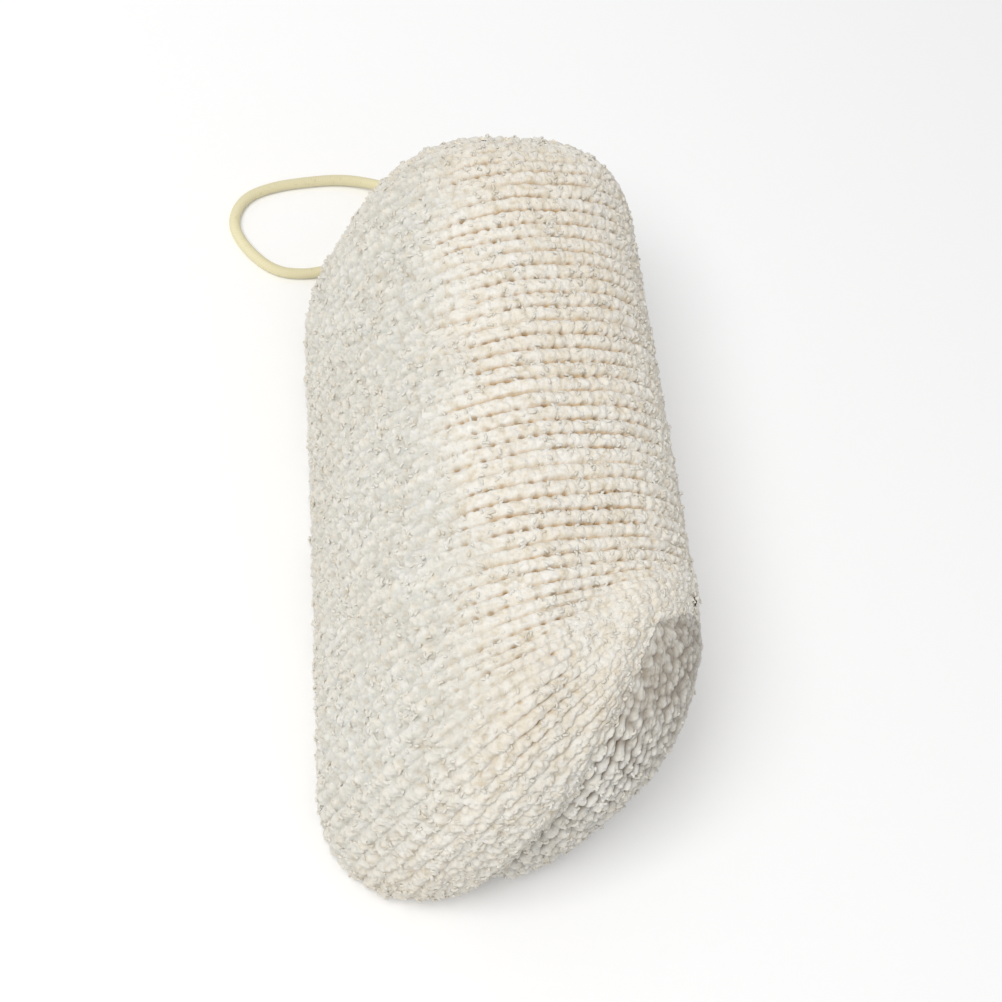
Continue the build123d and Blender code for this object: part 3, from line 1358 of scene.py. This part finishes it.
@dataclass
class NearGusset(Cover):
    """The gathered panel that closes the near right corner, its long stitches fanned from the pinch.

    A pair of values is where a smooth step starts and ends.
    """

    knit: Knit = Knit(
        course=2.3, wale=4.2, rib=1.6, dome=0.7, curl=1.7, curl_height=0.5, pit=1.3, pit_across=0.5,
        pit_along=0.9, brick=0.5, seed=31,
    )
    loops: YarnLoops = YarnLoops(per_area=0.4)
    step: float = 5.2
    lap_angle: float = 14.0
    stitches: int = 26
    extra_detail: int = 3
    open_share: float = 0.8
    recess: float = 0.9
    recess_width: float = 9.0
    recess_run: float = 6.0
    slack: float = 1.1
    slack_place: tuple = (4.0, 14.0)
    slack_run: float = 10.0
    gather: tuple = (1.0, 9.0)
    gathered_height: float = 0.6
    # painted shade: darker low places on the gusset, strongest by its left seam
    gusset_shade: float = 0.68
    gusset_shade_height: tuple = (1.6, 0.3)
    gusset_shade_place: tuple = (26.0, 6.0)
    gusset_shade_least: float = 0.4
    bare_share: float = 0.5
    # painted shade: grey mixed into the gusset's low places
    painted_shade_height: tuple = (2.6, 1.2)
    loop_seed: int = 90

    def patch(self) -> Patch:
        """Lay out the gusset's knit.

        Returns:
            The patch, its courses fanned round the pinch.
        """
        shape = self.shape
        first, last = shape.gusset_left_angle - self.lap_angle, shape.gusset_right_angle + self.lap_angle
        turn = np.radians(np.linspace(first, last, int((last - first) / self.step) + 1))
        ways = np.stack((np.cos(turn), np.sin(turn), np.zeros(len(turn))), axis=1)
        start = np.array([*shape.pinch, shape.height / 2.0])
        return Patch.counted(self.on_form(self.arcs(np.tile(start, (len(ways), 1)), ways, self.stitches)))

    def sink(self, points: Grid) -> Grid:
        """How deep the gusset lies: tucked at its seams, hollow by the left one and slack beyond.

        Args:
            points: Base points, shape (n, 3).

        Returns:
            Depths, shape (n,).
        """
        inside = self.shape.gusset_depth(points)
        depth = np.maximum(inside, 0.0)
        from_left = np.maximum(self.shape.gusset_sides(points)[0], 0.0)
        sink = self.tuck_at(points) * bell(depth, self.tuck_width)
        sink += self.lap_sink * smooth_step(0.0, -self.lap_run, inside)
        sink += self.recess * bell(from_left, self.recess_width) * smooth_step(0.0, self.recess_run, depth)
        slack = self.slack * smooth_step(*self.slack_place, from_left)
        return sink + slack * smooth_step(0.0, self.slack_run, depth)

    def build(self) -> bpy.types.Object:
        """Build the gusset.

        Returns:
            The finished piece.
        """
        fine = self.patch().finer(self.detail, self.detail + self.extra_detail)
        base = fine.base.reshape(-1, 3)
        normals = self.shape.normals(base, self.inset)
        openness = np.full(len(base), self.open_share)
        height, bare_and_painted_shade = self.knit.relief(fine, base, openness, fine.spacing())
        reach = np.linalg.norm(base[:, :2] - np.array(self.shape.pinch), axis=1)
        gathered = at_least(self.gathered_height, smooth_step(*self.gather, reach))
        points = base + normals * (height * gathered - self.sink(base))[:, None]
        from_left = np.maximum(self.shape.gusset_sides(base)[0], 0.0)
        # painted shade: darken the gusset's low places, most by the left seam
        gusset_shade = self.gusset_shade * smooth_step(*self.gusset_shade_height, height)
        gusset_shade *= at_least(self.gusset_shade_least, smooth_step(*self.gusset_shade_place, from_left))
        bare_and_painted_shade = np.clip(self.bare_share * bare_and_painted_shade + gusset_shade, 0.0, 1.0)
        cloth = Cloth()
        # painted shade grey in the low places
        cloth.add(points, fine.quads()[:, ::-1], bare_and_painted_shade, smooth_step(*self.painted_shade_height, height))
        loops = self.loops.grow(points, normals, fine.areas(), bare_and_painted_shade, self.loop_seed)
        cloth.add(*loops, 0.0, self.even_painted_shade)
        piece = cloth.make("near_gusset_knit", self.material)
        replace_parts(piece, "near_gusset")
        return piece


@dataclass
class FarPanel(Cover):
    """The knitted panel over the far end, in level courses inside the far seam."""

    knit: Knit = Knit(seed=51)
    rings: int = 12
    spokes: int = 80
    rim_share: float = 0.999
    open_share: float = 0.55
    far_tuck: float = 0.6
    loop_seed: int = 110

    def build(self) -> bpy.types.Object:
        """Build the far panel.

        Returns:
            The finished piece.
        """
        shape = self.shape
        middle, rim = shape.far_rim(self.inset, self.spokes)
        share = np.linspace(1.0, 0.0, self.rings + 1)[:, None, None]
        flat = middle + (rim - middle)[None, :, :] * share * self.rim_share
        ways = np.tile(shape.far_direction, (flat.size // 3, 1))
        base = self.on_form(shape.reach(flat.reshape(-1, 3), ways, self.inset).reshape(flat.shape))
        patch = Patch(base, base[:, :, 2] / self.knit.course, base @ shape.far_level / self.knit.wale)
        times = 3 * self.detail // 2
        fine = patch.finer(times, times)
        spots = fine.base.reshape(-1, 3)
        normals = shape.normals(spots, self.inset)
        openness, spacing = np.full(len(spots), self.open_share), np.full(len(spots), self.knit.course)
        height, bare_and_painted_shade = self.knit.relief(fine, spots, openness, spacing)
        points = spots + normals * (height - self.far_groove(spots))[:, None]
        cloth = Cloth()
        # painted shade: the far panel's knit gets the even grey share
        cloth.add(points, fine.quads(), bare_and_painted_shade, self.even_painted_shade)
        loops = self.loops.grow(points, normals, fine.areas(), bare_and_painted_shade, self.loop_seed)
        cloth.add(*loops, 0.0, self.even_painted_shade)
        piece = cloth.make("far_panel_knit", self.material)
        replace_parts(piece, "far_panel")
        return piece


# --- Seams, core and loop ---


@dataclass
class OvercastStitches:
    """Slanting stitches of two-ply thread that close a seam of the cover."""

    cover: Cover
    material: bpy.types.Material
    radius: float = 0.42
    half_width: float = 2.3
    slant: float = 1.1
    pitch: float = 5.0
    arch: float = 1.1
    near_sink: float = 2.6
    far_sink: float = 0.9
    stations: int = 13
    ply_twist: float = 5.0
    ply_offset: float = 0.5
    ply_size: float = 0.62
    ply_sides: int = 8
    near_length: float = 110.0
    near_ends: int = 2
    rim_spokes: int = 720

    def across(self, spots: Grid, along: Grid, over: Grid, sink: float) -> tuple[Grid, Grid]:
        """Build arched stitches over a seam.

        Args:
            spots: Points on the cover's base surface along the seam, shape (n, 3).
            along: Unit run of the seam at each.
            over: Unit direction across the seam at each.
            sink: How far the stitches' ends lie under the base surface.

        Returns:
            Vertices and quads.
        """
        out = self.cover.shape.normals(spots, self.cover.inset)
        share = np.linspace(-1.0, 1.0, self.stations)[None, :, None]
        lift = self.arch * np.sqrt(np.clip(1.0 - share**2, 0.0, 1.0)) - sink
        spots, along, over, out = (rows[:, None, :] for rows in (spots, along, over, out))
        middle = spots + (over * self.half_width + along * self.slant) * share + out * lift
        paths = []
        for ply in (0.0, math.pi):
            twist = share * self.ply_twist + ply
            offset = along * np.cos(twist) + out * np.sin(twist)
            paths.append(middle + offset * self.radius * self.ply_offset)
        paths = np.concatenate(paths)
        return tubes(paths, np.full(paths.shape[:2], self.radius * self.ply_size), self.ply_sides)

    def dress(self, name: str, points: Grid, quads: Grid, node: str) -> bpy.types.Object:
        """Make the stitches a piece of the pad that stands for a CAD node.

        Args:
            name: The piece's name.
            points: Vertices, shape (n, 3).
            quads: Quads of vertex numbers, shape (m, 4).
            node: The CAD node's name.

        Returns:
            The finished piece.
        """
        piece = build_mesh(name, points, quads)
        piece.data.materials.append(self.material)
        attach(piece, Body.PAD.value)
        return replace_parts(piece, node)

    def near(self) -> bpy.types.Object:
        """Build the stitches down both seams of the gusset.

        Returns:
            The finished piece.
        """
        shape = self.cover.shape
        start = np.array([[*shape.pinch, shape.height / 2.0]])
        keep, columns = slice(self.near_ends, -self.near_ends), int(self.near_length / self.pitch)
        made = []
        for angle in np.radians((shape.gusset_left_angle, shape.gusset_right_angle)):
            way = np.array([[math.cos(angle), math.sin(angle), 0.0]])
            curve = self.cover.on_form(self.cover.arcs(start, way, columns))[0]
            run = unit(np.gradient(curve, axis=0))
            over = np.tile(np.cross(UP, way), (len(curve), 1))
            made.append(self.across(curve[keep], run[keep], over[keep], self.near_sink))
        (left, left_quads), (right, right_quads) = made
        quads = np.concatenate((left_quads, right_quads + len(left)))
        return self.dress("near_seam_stitches", np.concatenate((left, right)), quads, "near_seam_thread")

    def far(self) -> bpy.types.Object:
        """Build the stitches round the far panel's seam.

        Returns:
            The finished piece.
        """
        shape = self.cover.shape
        rim = shape.far_rim(self.cover.inset, self.rim_spokes)[1]
        reached = run_length(rim)
        count = int(reached[-1] / self.pitch)
        place = np.linspace(0.0, reached[-1], count, endpoint=False)
        spots = self.cover.on_form(along_line(rim, reached, place))
        run = unit(np.roll(spots, -1, axis=0) - np.roll(spots, 1, axis=0))
        over = np.tile(shape.far_direction, (count, 1))
        points, quads = self.across(spots, run, over, self.far_sink)
        return self.dress("far_seam_stitches", points, quads, "far_seam_thread")


@dataclass
class HangingLoop:
    """The thin twisted cord that leaves the far end, lies on the floor and goes back in."""

    material: bpy.types.Material
    radius: float = 1.1
    sides: int = 20
    rings_per_turn: int = 14
    ply_pitch: float = 2.2
    ply_depth: float = 0.035
    groove_width: float = 0.5
    uneven: float = 0.05
    uneven_patch: float = 6.0
    uneven_seed: int = 5
    route: tuple = (
        (6.0, 71.7, 12.0),
        (4.6, 77.0, 11.0),
        (2.3, 82.0, 8.2),
        (-1.7, 86.3, 4.6),
        (-7.5, 89.0, 2.0),
        (-14.0, 89.2, 1.2),
        (-21.5, 87.2, 1.1),
        (-29.0, 84.6, 1.1),
        (-35.4, 80.6, 1.1),
        (-38.2, 74.0, 1.1),
        (-35.2, 68.2, 1.1),
        (-29.6, 64.0, 1.1),
        (-23.0, 64.3, 1.1),
        (-17.0, 66.4, 1.3),
        (-11.0, 69.1, 2.6),
        (-4.6, 71.7, 5.2),
        (1.0, 72.7, 7.2),
        (6.0, 71.7, 8.0),
    )

    def line(self) -> Grid:
        """Lay the cord's centreline as one smooth curve.

        Returns:
            Points along it, in millimetres, shape (n, 3).
        """
        curve = bpy.data.curves.new("loop_route", "CURVE")
        curve.dimensions = "3D"
        spline = curve.splines.new("NURBS")
        spline.points.add(len(self.route) - 1)
        for point, place in zip(spline.points, self.route):
            point.co = (*(value * METRES for value in place), 1.0)
        spline.order_u = 3
        spline.use_endpoint_u = True
        spline.resolution_u = 24
        holder = bpy.data.objects.new("loop_route", curve)
        bpy.context.scene.collection.objects.link(holder)
        graph = bpy.context.evaluated_depsgraph_get()
        mesh = bpy.data.meshes.new_from_object(holder.evaluated_get(graph))
        points = np.array([vertex.co for vertex in mesh.vertices], float) / METRES
        bpy.data.objects.remove(holder)
        bpy.data.meshes.remove(mesh)
        return points

    def build(self) -> bpy.types.Object:
        """Build the cord as a twisted tube along its line.

        Returns:
            The finished piece, riding on the loop's body.
        """
        line = self.line()
        reached = run_length(line)
        length = float(reached[-1])
        rings = int(length / self.ply_pitch * self.rings_per_turn)
        place = np.linspace(0.0, length, rings)
        path = along_line(line, reached, place)
        run = unit(np.gradient(path, axis=0))
        side = unit(np.cross(run, UP))
        above = np.cross(side, run)
        angle = np.linspace(0.0, 2.0 * np.pi, self.sides, endpoint=False)
        twist = angle[None, :] - 2.0 * np.pi * place[:, None] / self.ply_pitch
        groove = bell(np.sin(2.0 * twist), self.groove_width)
        uneven = 1.0 + self.uneven * drift(path, self.uneven_patch, self.uneven_seed)[:, None]
        size = (self.radius - self.ply_depth * groove) * uneven
        angle = angle[None, :, None]
        ring = side[:, None, :] * np.cos(angle) + above[:, None, :] * np.sin(angle)
        points = path[:, None, :] + ring * size[:, :, None]
        ids = np.arange(rings * self.sides).reshape(rings, self.sides)
        quads = quads_of(np.concatenate((ids, ids[:, :1]), axis=1))[:, ::-1]
        # the groove value also drives painted shade in the cord's finish
        piece = build_mesh("hang_loop_cord", points.reshape(-1, 3), quads, {"groove": groove})
        piece.data.materials.append(self.material)
        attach(piece, Body.LOOP.value)
        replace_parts(piece, "hang_loop")
        log.info("cord: %.1f mm long", length)
        return piece


# --- The studio ---


@dataclass
class Studio:
    """A plain pale floor, soft lights and the camera."""

    paper: bpy.types.Material
    target: tuple = (0.0, -6.0, 34.0)
    azimuth: float = -42.0
    elevation: float = 54.0
    distance: float = 450.0
    lean: float = 5.82
    lens: float = 87.8
    shift: tuple = (-0.0019, 0.0230)
    floor_size: float = 6000.0
    key_way: tuple = (-0.52, -0.26, 0.81)
    key_size: float = 420.0
    key_distance: float = 1100.0
    key_power: float = 7.5
    sky: float = 0.58
    clip: tuple = (0.01, 50.0)

    def camera(self) -> bpy.types.Object:
        """Place the camera, rolled so that the pad's long side leans a little left of upright.

        Returns:
            The camera.
        """
        azimuth, elevation = math.radians(self.azimuth), math.radians(self.elevation)
        level = math.cos(elevation)
        view = Vector((math.sin(azimuth) * level, -math.cos(azimuth) * level, math.sin(elevation)))
        right = Vector((0.0, 0.0, 1.0)).cross(view).normalized()
        up = view.cross(right)
        long_side = Vector((0.0, 1.0, 0.0))
        turn = -math.radians(self.lean) - math.atan2(long_side.dot(right), long_side.dot(up))
        rolled_right = right * math.cos(turn) + up * math.sin(turn)
        rolled_up = up * math.cos(turn) - right * math.sin(turn)
        data = bpy.data.cameras.new("camera")
        data.lens = self.lens
        data.shift_x, data.shift_y = self.shift
        data.clip_start, data.clip_end = self.clip
        camera = bpy.data.objects.new("camera", data)
        place = (Vector(self.target) + view * self.distance) * METRES
        axes = Matrix((rolled_right, rolled_up, view)).transposed().to_4x4()
        camera.matrix_world = Matrix.Translation(place) @ axes
        bpy.context.scene.collection.objects.link(camera)
        bpy.context.scene.camera = camera
        return camera

    def floor(self) -> bpy.types.Object:
        """Lay the floor just under the pad.

        Returns:
            The floor.
        """
        half = self.floor_size / 2.0
        corners = np.array([[-half, -half, 0.0], [half, -half, 0.0], [half, half, 0.0], [-half, half, 0.0]])
        piece = build_mesh("floor", corners, np.array([[0, 1, 2, 3]]))
        piece.data.materials.append(self.paper)
        return piece

    def key_light(self) -> bpy.types.Object:
        """Hang a square soft light that faces the pad.

        Returns:
            The light.
        """
        data = bpy.data.lights.new("key_light", "AREA")
        data.energy = self.key_power
        data.size = self.key_size * METRES
        lamp = bpy.data.objects.new("key_light", data)
        out = Vector(self.key_way).normalized()
        place = (Vector(self.target) + out * self.key_distance) * METRES
        lamp.matrix_world = Matrix.Translation(place) @ out.to_track_quat("Z", "Y").to_matrix().to_4x4()
        bpy.context.scene.collection.objects.link(lamp)
        return lamp

    def daylight(self) -> None:
        """Fill the studio with even white light."""
        world = bpy.data.worlds.new("studio_world")
        world.use_nodes = True
        back = world.node_tree.nodes["Background"]
        back.inputs["Color"].default_value = (*WHITE, 1.0)
        back.inputs["Strength"].default_value = self.sky
        bpy.context.scene.world = world

    def build(self) -> None:
        """Set up the whole studio."""
        self.camera()
        self.floor()
        self.key_light()
        self.daylight()
        bpy.context.scene.view_settings.view_transform = "Standard"


def repaint(node: str, material: bpy.types.Material) -> None:
    """Give a CAD node that stays a finer material.

    Args:
        node: The node's name.
        material: The new material.
    """
    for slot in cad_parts[node].material_slots:
        slot.material = material


def main() -> None:
    """Build the scrubber piece by piece round the frame."""
    logging.basicConfig(level=logging.INFO, format="%(name)s: %(message)s")
    Studio(PaperFinish().make("backdrop_paper")).build()
    cord = CordFinish().make("loop_cord")
    loop = HangingLoop(cord).build()
    log.info("built %s", loop.name)
    shape = PadShape()
    form = StuffedForm(shape)
    form.blow_up()
    detail = FULL_DETAIL
    knit = BoucleFinish().make("boucle_knit")
    # painted shade: a copy of the knit for the gusset, whose other grey and dark core colour paint its shade
    shaded_knit = BoucleFinish(shade_grey=(0.60, 0.60, 0.57), core=(0.20, 0.145, 0.09)).make("boucle_knit_gathered_painted_shade")
    thread = ThreadFinish().make("sewing_thread")
    sleeve = Sleeve(shape, form, knit, detail=detail)
    gusset = NearGusset(shape, form, shaded_knit, detail=detail)
    far_panel = FarPanel(shape, form, knit, detail=detail)
    for cover in (sleeve, gusset, far_panel):
        piece = cover.build()
        log.info("built %s: %d faces", piece.name, len(piece.data.polygons))
    stitches = OvercastStitches(sleeve, thread)
    log.info("built %s and %s", stitches.near().name, stitches.far().name)
    repaint("loofah_core", FibreFinish().make("loofah_fibre"))
    repaint("loop_knot", cord)
    repaint("loop_tack_thread", thread)


if __name__ == "__main__":
    main()
